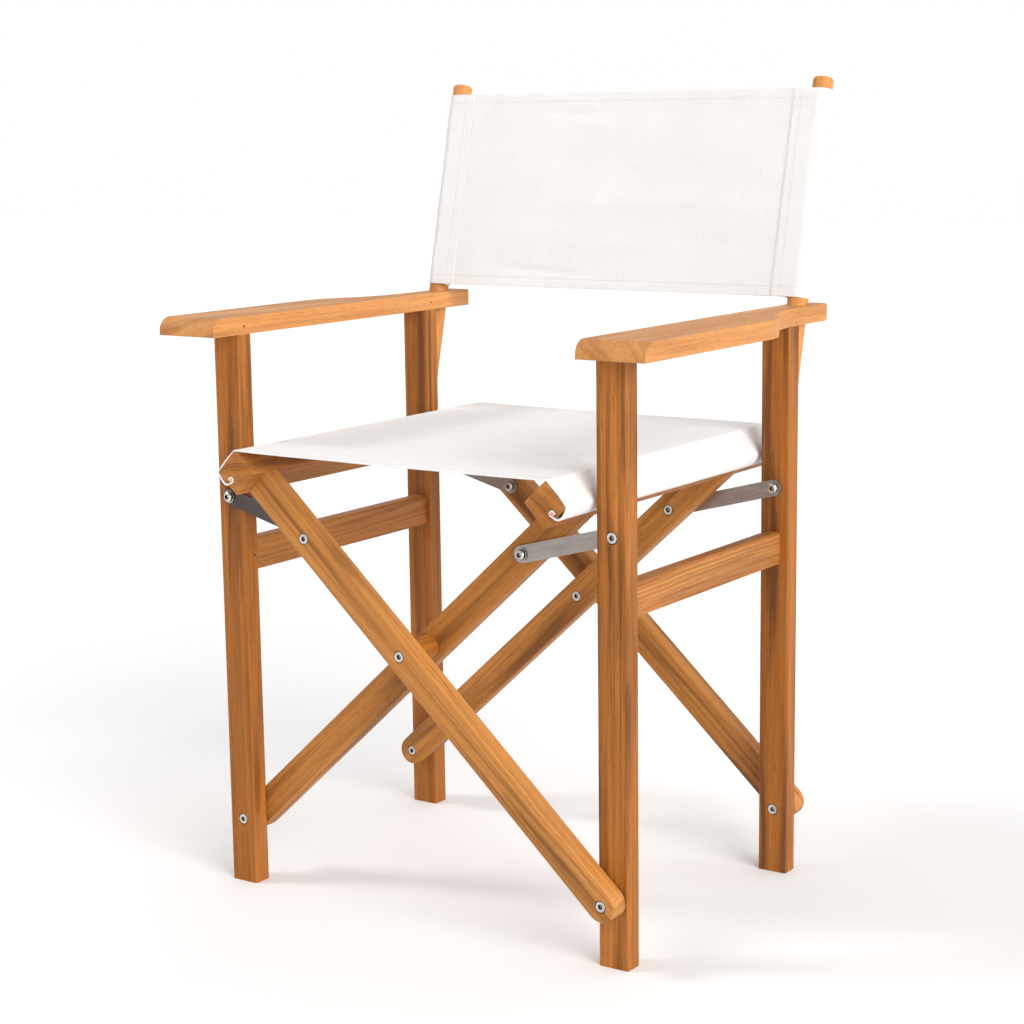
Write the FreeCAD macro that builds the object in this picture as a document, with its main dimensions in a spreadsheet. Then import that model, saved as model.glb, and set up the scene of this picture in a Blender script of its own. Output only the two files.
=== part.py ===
import FreeCAD, Part
import math
import os
import Sketcher

# A folding director chair in teak and canvas, in millimetres.
# +X is the sitter's left, seen from the front as right; the chair faces -Y; +Z is up.
# The origin is on the floor, under the middle of the chair's bounding box.
#
# Each side frame is two legs, a side rail, an armrest and a raked back post.
# Two crossed frames of two bars and a seat rail each stand between the side frames. Four steel
# straps tie the legs to the bars, so that the side frames stay upright as the bars close.

SIZES = [
    ("half_span", 241.5),
    ("leg_width", 34),
    ("leg_depth", 22),
    ("leg_height", 612),
    ("leg_pitch", 339),
    ("leg_round", 2),
    ("tenon_width", 18),
    ("tenon_depth", 12),
    ("tenon_length", 12),
    ("joint_slack", 0.05),
    ("mortise_spare", 0.3),
    ("rail_tenon_shoulder", 4),
    ("rail_tenon_cheek", 3),
    ("arm_thickness", 19),
    ("arm_front_overhang", 37),
    ("arm_side_overhang", 44),
    ("arm_rear_overhang", 66),
    ("arm_straight", 243),
    ("arm_corner_radius", 92),
    ("arm_corner_turn", 46),
    ("arm_waist_radius", 230),
    ("arm_nose_radius", 15),
    ("arm_edge_round", 1.5),
    ("side_rail_height", 35),
    ("side_rail_width", 19),
    ("side_rail_low", 353),
    ("side_rail_inset", 5),
    ("side_rail_round", 4),
    ("post_radius", 11.25),
    ("post_rake", 13.5),
    ("post_low", 500),
    ("post_high", 875),
    ("post_at_height", 638),
    ("post_at_depth", 390.3),
    ("post_top_round", 4),
    ("post_screw_height", 38),
    ("post_screw_length", 36),
    ("post_screw_radius", 2),
    ("post_screw_sink", 1.2),
    ("open_angle", 47.5),
    ("closed_angle", 10),
    ("pivot_height", 72),
    ("upper_arm", 264),
    ("bar_width", 34),
    ("bar_depth", 22),
    ("bar_round", 3),
    ("layer_gap", 3),
    ("strap_height", 364.6),
    ("strap_width", 18),
    ("strap_thickness", 2.5),
    ("strap_hole_radius", 3),
    ("seat_rail_side", 34),
    ("seat_rail_length", 450),
    ("seat_rail_front", 44.5),
    ("seat_rail_round", 2),
    ("groove_radius", 4.7),
    ("groove_depth", 6),
    ("groove_mouth", 3.6),
    ("welt_radius", 2.6),
    ("canvas_thickness", 1.5),
    ("canvas_clearance", 0.4),
    ("canvas_margin", 0.2),
    ("back_height", 230),
    ("sleeve_wall", 1.2),
    ("sleeve_clearance", 0.35),
    ("nut_radius", 4),
    ("nut_head_radius", 5.5),
    ("nut_head_height", 2.4),
    ("counterbore_radius", 6.6),
    ("counterbore_depth", 3),
    ("running_fit", 0.05),
    ("screw_radius", 2.5),
    ("screw_bore_radius", 2.6),
    ("screw_bore_depth", 14),
    ("screw_reach", 12.5),
    ("screw_head_radius", 5.2),
    ("screw_head_height", 2.3),
    ("screw_dome_height", 1.2),
    ("screw_dome_radius", 3.9),
    ("hex_radius", 2.9),
    ("hex_depth", 1.7),
    ("washer_radius", 7),
    ("washer_thickness", 1.2),
    ("pivot_washer_radius", 9),
    ("pivot_washer_thickness", 2.4),
    ("pivot_bore_radius", 4.3),
    ("end_play", 0.3),
    ("nut_end_play", 0.1),
    ("head_play", 0.05),
    ("washer_play", 0.02),
    ("spacer_radius", 15),
    ("dowel_radius", 5),
    ("dowel_length", 40),
    ("pin_radius", 1.2),
    ("pin_length", 24),
    ("arm_pin_height", 8.55),
]

# Lengths that follow from the sizes in the sheet.
LOWER_ARM = "(Sizes.half_span / sin(Sizes.open_angle))"
CROSSING_HEIGHT = f"(Sizes.pivot_height + {LOWER_ARM} * cos(Sizes.open_angle))"
COSINES = "(cos(Sizes.open_angle) + cos(Sizes.closed_angle))"
STRAP_ARM = (
    f"({LOWER_ARM} * Sizes.strap_height"
    f" / (2 * {LOWER_ARM} * {COSINES} - Sizes.strap_height))"
)
STRAP_ACROSS = f"(({LOWER_ARM} - {STRAP_ARM}) * sin(Sizes.open_angle))"
STRAP_DROP = (
    f"(Sizes.strap_height - ({LOWER_ARM} + {STRAP_ARM}) * cos(Sizes.open_angle))"
)
STRAP_LENGTH = f"(({STRAP_ACROSS}) ^ 2 + ({STRAP_DROP}) ^ 2) ^ 0.5"
BAR_LENGTH = f"({LOWER_ARM} + Sizes.upper_arm - Sizes.seat_rail_side / 2)"
PAIR_GRIP = "(Sizes.leg_depth + Sizes.layer_gap + Sizes.bar_depth)"
CROSSING_GAP = "(Sizes.leg_depth + 2 * Sizes.layer_gap)"
CROSSING_GRIP = f"({CROSSING_GAP} + 2 * Sizes.bar_depth)"
ARM_LENGTH = (
    "(Sizes.arm_front_overhang + Sizes.leg_pitch + Sizes.leg_depth"
    " + Sizes.arm_rear_overhang)"
)

doc = FreeCAD.newDocument("DirectorChair")
sheet = doc.addObject("Spreadsheet::Sheet", "Sizes")
for row, (alias, value) in enumerate(SIZES, start=1):
    sheet.set(f"A{row}", alias)
    sheet.set(f"B{row}", str(value))
    sheet.setAlias(f"B{row}", alias)
doc.recompute()

Vector = FreeCAD.Vector
X_AXIS = Vector(1, 0, 0)
Y_AXIS = Vector(0, 1, 0)
Z_AXIS = Vector(0, 0, 1)
subparts = []


def number(expression):
    """The value of an expression over the sheet."""
    result = sheet.evalExpression(str(expression))
    return float(getattr(result, "Value", result))


def size(alias):
    return number(f"Sizes.{alias}")


def keep(part, label):
    """Make an object a sub-part, exported under its label."""
    part.Label = label
    subparts.append(part)
    return part


# ---------------------------------------------------------------- places in the chair

SPAN = size("half_span")
LEG_DEPTH = size("leg_depth")
GAP = size("layer_gap")
BAR_DEPTH = size("bar_depth")
REAR_LEG = size("leg_pitch")
PIVOT_Z = size("pivot_height")
CROSS_Z = number(CROSSING_HEIGHT)
OPEN = size("open_angle")
RAKE = math.radians(size("post_rake"))


def post_depth(height):
    """How far behind the front face the post's axis is at a height."""
    return size("post_at_depth") + (height - size("post_at_height")) * math.tan(RAKE)


# The chair's depth runs from the seat rails' front ends to the back of the posts' round tops.
POST_BACK = (
    post_depth(size("post_high"))
    + (size("post_radius") - size("post_top_round")) * math.cos(RAKE)
    - size("post_top_round") * math.sin(RAKE)
    + size("post_top_round")
)
MIDDLE = (POST_BACK - size("seat_rail_front")) / 2


def at(x, y, z, rotation=FreeCAD.Rotation()):
    """A placement; y is measured back from the front legs' front faces."""
    return FreeCAD.Placement(Vector(x, y - MIDDLE, z), rotation)


UPRIGHT = FreeCAD.Rotation(X_AXIS, 90)  # local Y points up, local Z points forward
HEAD_BACK = FreeCAD.Rotation(X_AXIS, -90)  # local Z points back


def leaning(angle):
    """A flat piece standing on its end and leaning towards +X by the angle."""
    return FreeCAD.Rotation(Y_AXIS, angle) * UPRIGHT


# ---------------------------------------------------------------- sketches and features


def new_sketch(body, height="0"):
    """A sketch on the body's own XY plane, raised to a height."""
    plane = next(f for f in body.Origin.OriginFeatures if f.Role == "XY_Plane")
    sketch = body.newObject("Sketcher::SketchObject", "Sketch")
    sketch.AttachmentSupport = [(plane, "")]
    sketch.MapMode = "FlatFace"
    sketch.setExpression("AttachmentOffset.Base.z", height)
    return sketch


def bind(sketch, kind, *where, to):
    """Add a constraint whose value is an expression over the sheet."""
    index = sketch.addConstraint(Sketcher.Constraint(kind, *where, number(to)))
    sketch.setExpression(f"Constraints[{index}]", to)


def draw_rectangle(sketch, left, right, low, high):
    x0, x1, y0, y1 = (number(edge) for edge in (left, right, low, high))
    corners = [Vector(x0, y0), Vector(x1, y0), Vector(x1, y1), Vector(x0, y1)]
    first = sketch.GeometryCount
    for i in range(4):
        sketch.addGeometry(Part.LineSegment(corners[i], corners[(i + 1) % 4]))
    for i in range(4):
        ends = (first + i, 2, first + (i + 1) % 4, 1)
        sketch.addConstraint(Sketcher.Constraint("Coincident", *ends))
        kind = "Horizontal" if i % 2 == 0 else "Vertical"
        sketch.addConstraint(Sketcher.Constraint(kind, first + i))
    bind(sketch, "DistanceX", -1, 1, first, 1, to=left)
    bind(sketch, "DistanceY", -1, 1, first, 1, to=low)
    bind(sketch, "DistanceX", -1, 1, first + 2, 1, to=right)
    bind(sketch, "DistanceY", -1, 1, first + 2, 1, to=high)


def draw_circle(sketch, x, y, radius):
    centre = Vector(number(x), number(y))
    index = sketch.addGeometry(Part.Circle(centre, Z_AXIS, number(radius)))
    bind(sketch, "DistanceX", -1, 1, index, 3, to=x)
    bind(sketch, "DistanceY", -1, 1, index, 3, to=y)
    bind(sketch, "Radius", index, to=radius)


def pad(body, sketch, length):
    feature = body.newObject("PartDesign::Pad", "Pad")
    feature.Profile = sketch
    feature.setExpression("Length", length)
    sketch.Visibility = False
    doc.recompute()
    return feature


def pocket(body, sketch, depth=None, upward=False):
    """Cut down from the sketch, or upward; right through if no depth is given."""
    before = body.Tip.Shape.Volume
    feature = body.newObject("PartDesign::Pocket", "Pocket")
    feature.Profile = sketch
    feature.Reversed = upward
    if depth is None:
        feature.Type = "ThroughAll"
    else:
        feature.setExpression("Length", depth)
    doc.recompute()
    if not feature.Shape.Volume < before:
        raise RuntimeError(f"{body.Label}: a pocket cuts nothing")
    return feature


def round_edges(body, radius, wanted):
    """Round every edge of the body's last feature for which wanted(edge) is true."""
    base = body.Tip
    names = [f"Edge{i}" for i, edge in enumerate(base.Shape.Edges, 1) if wanted(edge)]
    feature = body.newObject("PartDesign::Fillet", "Fillet")
    feature.Base = (base, names)
    feature.setExpression("Radius", radius)
    doc.recompute()
    return feature


def along(edge, axis):
    """Whether an edge is straight and parallel to an axis."""
    if not isinstance(edge.Curve, Part.Line):
        return False
    return abs(abs(edge.Curve.Direction.dot(axis)) - 1) < 1e-6


def new_body(label):
    body = doc.addObject("PartDesign::Body", "Body")
    body.Label = label
    return body


def bolt_hole(body, x, y, thickness, head_in_front):
    """A running hole through a flat piece, with a counterbore for the nut's head."""
    through = new_sketch(body)
    draw_circle(through, x, y, "Sizes.nut_radius + Sizes.running_fit")
    pocket(body, through, upward=True)
    sink = new_sketch(body, thickness if head_in_front else "0")
    draw_circle(sink, x, y, "Sizes.counterbore_radius")
    pocket(body, sink, "Sizes.counterbore_depth", upward=not head_in_front)


# ---------------------------------------------------------------- primitives


def cylinder(radius, height, place=FreeCAD.Placement()):
    solid = doc.addObject("Part::Cylinder", "Cylinder")
    solid.setExpression("Radius", radius)
    solid.setExpression("Height", height)
    solid.Placement = place
    return solid


def cone(radius, top_radius, height, place=FreeCAD.Placement()):
    solid = doc.addObject("Part::Cone", "Cone")
    solid.setExpression("Radius1", radius)
    solid.setExpression("Radius2", top_radius)
    solid.setExpression("Height", height)
    solid.Placement = place
    return solid


def block(length, width, height, place=FreeCAD.Placement()):
    solid = doc.addObject("Part::Box", "Box")
    solid.setExpression("Length", length)
    solid.setExpression("Width", width)
    solid.setExpression("Height", height)
    solid.Placement = place
    return solid


def hexagon(radius, height, place):
    solid = doc.addObject("Part::Prism", "Socket")
    solid.Polygon = 6
    solid.setExpression("Circumradius", radius)
    solid.setExpression("Height", height)
    solid.Placement = place
    return solid


def fuse(*solids):
    union = doc.addObject("Part::MultiFuse", "Fusion")
    union.Shapes = list(solids)
    return union


def cut(base, *tools):
    result = doc.addObject("Part::Cut", "Cut")
    result.Base = base
    result.Tool = tools[0] if len(tools) == 1 else fuse(*tools)
    return result


def group(label, solids):
    """Separate solids of one kind that share a node."""
    result = doc.addObject("Part::Compound", "Compound")
    result.Links = list(solids)
    return keep(result, label)


def mirrored(part, label):
    """The same piece on the other side of the chair."""
    result = doc.addObject("Part::Mirroring", "Mirror")
    result.Source = part
    result.Normal = X_AXIS
    return keep(result, label)


def lift(z):
    return FreeCAD.Placement(Vector(0, 0, z), FreeCAD.Rotation())


# ---------------------------------------------------------------- wooden pieces


def make_leg(label, side, front):
    """A leg with a tenon for the armrest, a mortise for the side rail and two bolt holes.

    Heads sink into the front face of the foot hole where the leg is the front layer there.
    """
    leads = (side < 0) == front
    body = new_body(label)
    outline = new_sketch(body)
    half = "Sizes.leg_width / 2"
    top = "Sizes.leg_height - Sizes.pivot_height"
    draw_rectangle(outline, f"-{half}", half, "-Sizes.pivot_height", top)
    pad(body, outline, "Sizes.leg_depth")
    round_edges(body, "Sizes.leg_round", lambda edge: along(edge, Y_AXIS))
    tenon = new_sketch(body, "(Sizes.leg_depth - Sizes.tenon_depth) / 2")
    reach = "Sizes.tenon_width / 2"
    draw_rectangle(tenon, f"-{reach}", reach, f"{top} - 1", f"{top} + Sizes.tenon_length")
    pad(body, tenon, "Sizes.tenon_depth")
    mortise = new_sketch(body, "0" if front else "Sizes.leg_depth")
    inner, outer = side_rail_edges(side, "Sizes.joint_slack - Sizes.rail_tenon_cheek")
    rail_low = "Sizes.side_rail_low - Sizes.pivot_height"
    low = f"{rail_low} + Sizes.rail_tenon_shoulder - Sizes.joint_slack"
    high = f"{rail_low} + Sizes.side_rail_height - Sizes.rail_tenon_shoulder"
    draw_rectangle(mortise, inner, outer, low, f"{high} + Sizes.joint_slack")
    pocket(body, mortise, "Sizes.tenon_length + Sizes.mortise_spare", upward=front)
    bolt_hole(body, "0", "0", "Sizes.leg_depth", leads)
    bolt_hole(body, "0", "Sizes.strap_height", "Sizes.leg_depth", not leads)
    rear_face = LEG_DEPTH if front else REAR_LEG + LEG_DEPTH
    body.Placement = at(side * SPAN, rear_face, PIVOT_Z, UPRIGHT)
    return keep(body, label)


def side_rail_edges(side, grow="0"):
    """The side rail's left and right faces, from the leg's centre line."""
    near = f"(Sizes.leg_width / 2 - Sizes.side_rail_inset + {grow})"
    far = f"(Sizes.side_rail_width - Sizes.leg_width / 2 + Sizes.side_rail_inset + {grow})"
    return (f"-{far}", near) if side < 0 else (f"-{near}", far)


def make_side_rail(label, side):
    """A rail between the legs of one side, with a tenon into each."""
    body = new_body(label)
    left, right = side_rail_edges(side)
    outline = new_sketch(body)
    low = "Sizes.side_rail_low"
    draw_rectangle(outline, left, right, low, f"{low} + Sizes.side_rail_height")
    pad(body, outline, "Sizes.leg_pitch - Sizes.leg_depth")
    top = size("side_rail_low") + size("side_rail_height")
    round_edges(
        body,
        "Sizes.side_rail_round",
        lambda edge: along(edge, Z_AXIS) and edge.BoundBox.YMax > top - 1,
    )
    tenon = new_sketch(body, "-Sizes.tenon_length")
    left, right = side_rail_edges(side, "-Sizes.rail_tenon_cheek")
    shoulder = "Sizes.rail_tenon_shoulder"
    high = f"{low} + Sizes.side_rail_height - {shoulder}"
    draw_rectangle(tenon, left, right, f"{low} + {shoulder}", high)
    pad(body, tenon, "Sizes.leg_pitch - Sizes.leg_depth + 2 * Sizes.tenon_length")
    body.Placement = at(side * SPAN, REAR_LEG, 0, UPRIGHT)
    return keep(body, label)


def make_armrest(label):
    """The +X armrest: wide in front, then a rounded corner and a waist to a narrow tail.

    The sketch has x = 0 at the inner edge and y = 0 at the front end.
    """
    width = size("leg_width") + size("arm_side_overhang")
    tail = size("leg_width")
    length = number(ARM_LENGTH)
    turn = math.radians(size("arm_corner_turn"))
    corner = size("arm_corner_radius")
    straight = size("arm_straight")
    waist = size("arm_waist_radius")
    notch = Vector(width - corner * (1 - math.cos(turn)), straight + corner * math.sin(turn))
    drop = math.acos(1 - (notch.x - tail) / waist)
    waist_end = notch.y + waist * math.sin(drop)
    body = new_body("armrest_blank")
    sketch = new_sketch(body)
    points = [Vector(0, 0), Vector(width, 0), Vector(width, straight)]
    lines = [sketch.addGeometry(Part.LineSegment(a, b)) for a, b in zip(points, points[1:])]
    bend = Part.Circle(Vector(width - corner, straight), Z_AXIS, corner)
    lines.append(sketch.addGeometry(Part.ArcOfCircle(bend, 0, turn)))
    hollow = Part.Circle(Vector(tail + waist, waist_end), Z_AXIS, waist)
    lines.append(sketch.addGeometry(Part.ArcOfCircle(hollow, math.pi, math.pi + drop)))
    points = [Vector(tail, waist_end), Vector(tail, length), Vector(0, length), Vector(0, 0)]
    lines += [sketch.addGeometry(Part.LineSegment(a, b)) for a, b in zip(points, points[1:])]
    front, outer, bend, hollow, tail_side, rear, inner = lines
    joins = [(front, 2, outer, 1), (bend, 2, hollow, 2), (tail_side, 2, rear, 1)]
    joins += [(rear, 2, inner, 1), (inner, 2, front, 1), (inner, 2, -1, 1)]
    for join in joins:
        sketch.addConstraint(Sketcher.Constraint("Coincident", *join))
    sketch.addConstraint(Sketcher.Constraint("Tangent", outer, 2, bend, 1))
    sketch.addConstraint(Sketcher.Constraint("Tangent", hollow, 1, tail_side, 1))
    for line in (front, rear):
        sketch.addConstraint(Sketcher.Constraint("Horizontal", line))
    for line in (outer, tail_side, inner):
        sketch.addConstraint(Sketcher.Constraint("Vertical", line))
    bind(sketch, "DistanceX", -1, 1, front, 2, to="Sizes.leg_width + Sizes.arm_side_overhang")
    bind(sketch, "DistanceY", -1, 1, outer, 2, to="Sizes.arm_straight")
    bind(sketch, "Radius", bend, to="Sizes.arm_corner_radius")
    bind(sketch, "Radius", hollow, to="Sizes.arm_waist_radius")
    bind(sketch, "DistanceX", -1, 1, tail_side, 2, to="Sizes.leg_width")
    bind(sketch, "DistanceY", -1, 1, tail_side, 2, to=ARM_LENGTH)
    turned = "(Sizes.arm_corner_radius * sin(Sizes.arm_corner_turn))"
    bind(sketch, "DistanceY", -1, 1, bend, 2, to=f"Sizes.arm_straight + {turned}")
    pad(body, sketch, "Sizes.arm_thickness")
    high = size("arm_thickness") - 1e-3
    round_edges(
        body,
        "Sizes.arm_nose_radius",
        lambda edge: edge.BoundBox.YMax < 1e-3 and edge.BoundBox.ZMin > high,
    )
    round_edges(
        body,
        "Sizes.arm_edge_round",
        lambda edge: edge.BoundBox.ZMin > high and edge.BoundBox.YMin > 1,
    )
    for face in ("Sizes.arm_front_overhang", "Sizes.arm_front_overhang + Sizes.leg_pitch"):
        mortise = new_sketch(body)
        middle = f"{face} + Sizes.leg_depth / 2"
        half = "(Sizes.tenon_width / 2 + Sizes.joint_slack)"
        deep = "(Sizes.tenon_depth / 2 + Sizes.joint_slack)"
        centre = "Sizes.leg_width / 2"
        draw_rectangle(
            mortise,
            f"{centre} - {half}",
            f"{centre} + {half}",
            f"{middle} - {deep}",
            f"{middle} + {deep}",
        )
        pocket(body, mortise, "Sizes.tenon_length + Sizes.mortise_spare", upward=True)
    inner_face = SPAN - size("leg_width") / 2
    body.Placement = at(inner_face, -size("arm_front_overhang"), size("leg_height"))
    bore = cylinder(
        "Sizes.post_radius + Sizes.joint_slack",
        "Sizes.post_high - Sizes.post_low",
        post_place(size("post_low")),
    )
    return keep(cut(body, bore), label)


def post_place(height):
    """Where the +X post's axis passes a height, with local Z up along the post."""
    rake = FreeCAD.Rotation(X_AXIS, -size("post_rake"))
    return at(SPAN, post_depth(height), height, rake)


def make_back_post(label):
    """A raked round post, planed flat where it lies on the rear leg's back face."""
    length = "(Sizes.post_high - Sizes.post_low) / cos(Sizes.post_rake)"
    shaft = cylinder("Sizes.post_radius", length, post_place(size("post_low")))
    doc.recompute()
    rounded = doc.addObject("Part::Fillet", "RoundedPost")
    rounded.Base = shaft
    radius = size("post_top_round")
    edges = enumerate(shaft.Shape.Edges, 1)
    near_top = size("post_high") - size("post_radius")
    tops = [i for i, edge in edges if edge.BoundBox.ZMin > near_top]
    rounded.Edges = [(i, radius, radius) for i in tops]
    # Everything in front of the leg's back face is planed away, over twice the post's width.
    leg_side = block(
        "4 * Sizes.post_radius",
        "2 * Sizes.leg_depth",
        "Sizes.leg_height",
        at(SPAN - 2 * size("post_radius"), REAR_LEG - LEG_DEPTH, 0),
    )
    return keep(cut(rounded, leg_side), label)


def make_bar(label, foot_side, front_pair, leads):
    """A cross leg: round at its foot, square where it meets the seat rail.

    It leans away from its foot's side. A bar that leads is in front of its leg.
    """
    body = new_body(label)
    half = "Sizes.bar_width / 2"
    outline = new_sketch(body)
    draw_rectangle(outline, f"-{half}", half, "0", BAR_LENGTH)
    pad(body, outline, "Sizes.bar_depth")
    foot = new_sketch(body)
    draw_circle(foot, "0", "0", half)
    pad(body, foot, "Sizes.bar_depth")
    end = number(BAR_LENGTH) - 1e-3
    depth = number("Sizes.bar_depth")

    def on_a_face(edge):
        box = edge.BoundBox
        flat = box.ZMax < 1e-3 or box.ZMin > depth - 1e-3
        return flat and box.YMin < end

    round_edges(body, "Sizes.bar_round", on_a_face)
    for reach in ("0", LOWER_ARM, f"{LOWER_ARM} + {STRAP_ARM}"):
        bolt_hole(body, "0", reach, "Sizes.bar_depth", leads)
    front_face = 0 if front_pair else REAR_LEG
    rear = front_face - GAP if leads else front_face + LEG_DEPTH + GAP + BAR_DEPTH
    body.Placement = at(foot_side * SPAN, rear, PIVOT_Z, leaning(-foot_side * OPEN))
    return keep(body, label)


def seat_rail_place(side, y, along_bar=0.0):
    """The frame of a seat rail: local Y runs on up the bars, local Z runs forward."""
    reach = size("upper_arm") + along_bar
    x = side * reach * math.sin(math.radians(OPEN))
    z = CROSS_Z + reach * math.cos(math.radians(OPEN))
    return at(x, y, z, leaning(side * OPEN))


def rail_rear():
    return size("seat_rail_length") - size("seat_rail_front")


def make_seat_rail(label, side):
    """A square rail with a keyhole groove along its lower outer face for the welt."""
    body = new_body(label)
    outline = new_sketch(body)
    half = "Sizes.seat_rail_side / 2"
    draw_rectangle(outline, f"-{half}", half, f"-{half}", half)
    pad(body, outline, "Sizes.seat_rail_length")
    round_edges(body, "Sizes.seat_rail_round", lambda edge: along(edge, Z_AXIS))
    groove = new_sketch(body)
    centre = f"{half} - Sizes.groove_depth"
    draw_circle(groove, f"-({centre})" if side < 0 else centre, "0", "Sizes.groove_radius")
    pocket(body, groove, upward=True)
    mouth = new_sketch(body)
    gap = "Sizes.groove_mouth / 2"
    edges = (f"-{half} - 1", f"-({centre})") if side < 0 else (centre, f"{half} + 1")
    draw_rectangle(mouth, *edges, f"-{gap}", gap)
    pocket(body, mouth, upward=True)
    body.Placement = seat_rail_place(side, rail_rear())
    return keep(body, label)


def make_dowels(label, side, depths):
    """The dowels that join a seat rail to the square ends of its two bars."""
    dowels = []
    for depth in depths:
        start = -size("seat_rail_side") / 2 - size("dowel_length") / 2
        place = seat_rail_place(side, depth, start)
        place.Rotation = FreeCAD.Rotation(Y_AXIS, side * OPEN)
        dowels.append(cylinder("Sizes.dowel_radius", "Sizes.dowel_length", place))
    return group(label, dowels)


# ---------------------------------------------------------------- metal pieces


def sleeve_nut(length, place):
    """A barrel nut: a flat head with a hexagon socket, and a barrel bored from its far end.

    Local Z = 0 is the wooden face that the head is sunk into, and the barrel runs down.
    """
    seat = -size("counterbore_depth")
    head = cylinder("Sizes.nut_head_radius", "Sizes.nut_head_height", lift(seat))
    end = seat - number(length)
    barrel = cylinder("Sizes.nut_radius", f"{length} + 1", lift(end))
    bore = cylinder("Sizes.screw_bore_radius", "Sizes.screw_bore_depth", lift(end))
    face = seat + size("nut_head_height")
    socket = hexagon("Sizes.hex_radius", "Sizes.hex_depth + 1", lift(face - size("hex_depth")))
    nut = cut(fuse(head, barrel), bore, socket)
    nut.Placement = place
    return nut


def sunk_screw(place):
    """The screw opposite a barrel nut, with its flat head sunk into the wood."""
    seat = -size("counterbore_depth")
    head = cylinder("Sizes.nut_head_radius", "Sizes.nut_head_height", lift(seat))
    shank = cylinder("Sizes.screw_radius", "Sizes.screw_reach + 1", lift(seat - size("screw_reach")))
    face = seat + size("nut_head_height")
    socket = hexagon("Sizes.hex_radius", "Sizes.hex_depth + 1", lift(face - size("hex_depth")))
    screw = cut(fuse(head, shank), socket)
    screw.Placement = place
    return screw


def strap_screw(reach, place):
    """A domed screw over a strap. Local Z = 0 is the strap's outer face; the shank runs down."""
    under = size("washer_thickness") + size("head_play")
    head = cylinder("Sizes.screw_head_radius", "Sizes.screw_head_height", lift(under))
    dome = cone(
        "Sizes.screw_head_radius",
        "Sizes.screw_dome_radius",
        "Sizes.screw_dome_height",
        lift(under + size("screw_head_height")),
    )
    shank = cylinder("Sizes.screw_radius", f"{reach} + {under} + 1", lift(-number(reach)))
    top = under + size("screw_head_height") + size("screw_dome_height")
    socket = hexagon("Sizes.hex_radius", "Sizes.hex_depth + 1", lift(top - size("hex_depth")))
    screw = cut(fuse(head, dome, shank), socket)
    screw.Placement = place
    return screw


def ring(radius, bore, height, place):
    washer = cut(cylinder(radius, height), cylinder(bore, height))
    washer.Placement = place
    return washer


def faces(front_pair):
    """Depths of the front and back faces of the front pair of legs, or of the rear pair."""
    leg_front = 0 if front_pair else REAR_LEG
    leg_rear = leg_front + LEG_DEPTH
    return leg_front, leg_rear


def pivot_bolts(prefix, places):
    """Barrel nuts and sunk screws for pivots given as (x, z, front face, rear face)."""
    nuts = []
    screws = []
    for x, z, front, rear in places:
        grip = f"{rear - front} - 2 * (Sizes.counterbore_depth + Sizes.nut_end_play)"
        nuts.append(sleeve_nut(grip, at(x, front, z, UPRIGHT)))
        screws.append(sunk_screw(at(x, rear, z, HEAD_BACK)))
    group(f"{prefix}_nuts", nuts)
    group(f"{prefix}_screws", screws)


def foot_pivots(label_side, side):
    """The bolts and washers where the cross legs turn on one side's legs."""
    places = []
    washers = []
    for front_pair in (True, False):
        leg_front, leg_rear = faces(front_pair)
        leg_leads = (side < 0) == front_pair
        reach = GAP + BAR_DEPTH
        if leg_leads:
            places.append((side * SPAN, PIVOT_Z, leg_front, leg_rear + reach))
            rear_of_gap = leg_rear + GAP
        else:
            places.append((side * SPAN, PIVOT_Z, leg_front - reach, leg_rear))
            rear_of_gap = leg_front
        play = (GAP - size("pivot_washer_thickness")) / 2
        place = at(side * SPAN, rear_of_gap - play, PIVOT_Z, UPRIGHT)
        sizes = ("Sizes.pivot_washer_radius", "Sizes.pivot_bore_radius")
        washers.append(ring(*sizes, "Sizes.pivot_washer_thickness", place))
    pivot_bolts(f"{label_side}_foot_pivot", places)
    group(f"{label_side}_foot_pivot_washers", washers)


STRAP_ANGLE = math.degrees(math.asin(number(STRAP_DROP) / number(STRAP_LENGTH)))
STRAP_Z = PIVOT_Z + size("strap_height")
STRAP_PLAY = (GAP - size("strap_thickness")) / 2
STRAP_END_X = number(STRAP_ARM) * math.sin(math.radians(OPEN))
STRAP_END_Z = CROSS_Z + number(STRAP_ARM) * math.cos(math.radians(OPEN))
NUT_IN_BOARD = "Sizes.leg_depth - Sizes.counterbore_depth - Sizes.nut_end_play"


def make_strap(label, side, leg_leads, leg_front, leg_rear):
    """A flat steel strap with round ends, from its leg inwards and down to its bar."""
    body = new_body(label)
    half = "Sizes.strap_width / 2"
    outline = new_sketch(body)
    draw_rectangle(outline, "0", STRAP_LENGTH, f"-{half}", half)
    pad(body, outline, "Sizes.strap_thickness")
    for end in ("0", STRAP_LENGTH):
        tip = new_sketch(body)
        draw_circle(tip, end, "0", half)
        pad(body, tip, "Sizes.strap_thickness")
    for end in ("0", STRAP_LENGTH):
        hole = new_sketch(body)
        draw_circle(hole, end, "0", "Sizes.strap_hole_radius")
        pocket(body, hole, upward=True)
    rear = leg_front - STRAP_PLAY
    if not leg_leads:
        rear = leg_rear + GAP - STRAP_PLAY
    inward = STRAP_ANGLE if side < 0 else 180 - STRAP_ANGLE
    turn = FreeCAD.Rotation(Y_AXIS, inward)
    body.Placement = at(side * SPAN, rear, STRAP_Z, turn * UPRIGHT)
    return keep(body, label)


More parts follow.
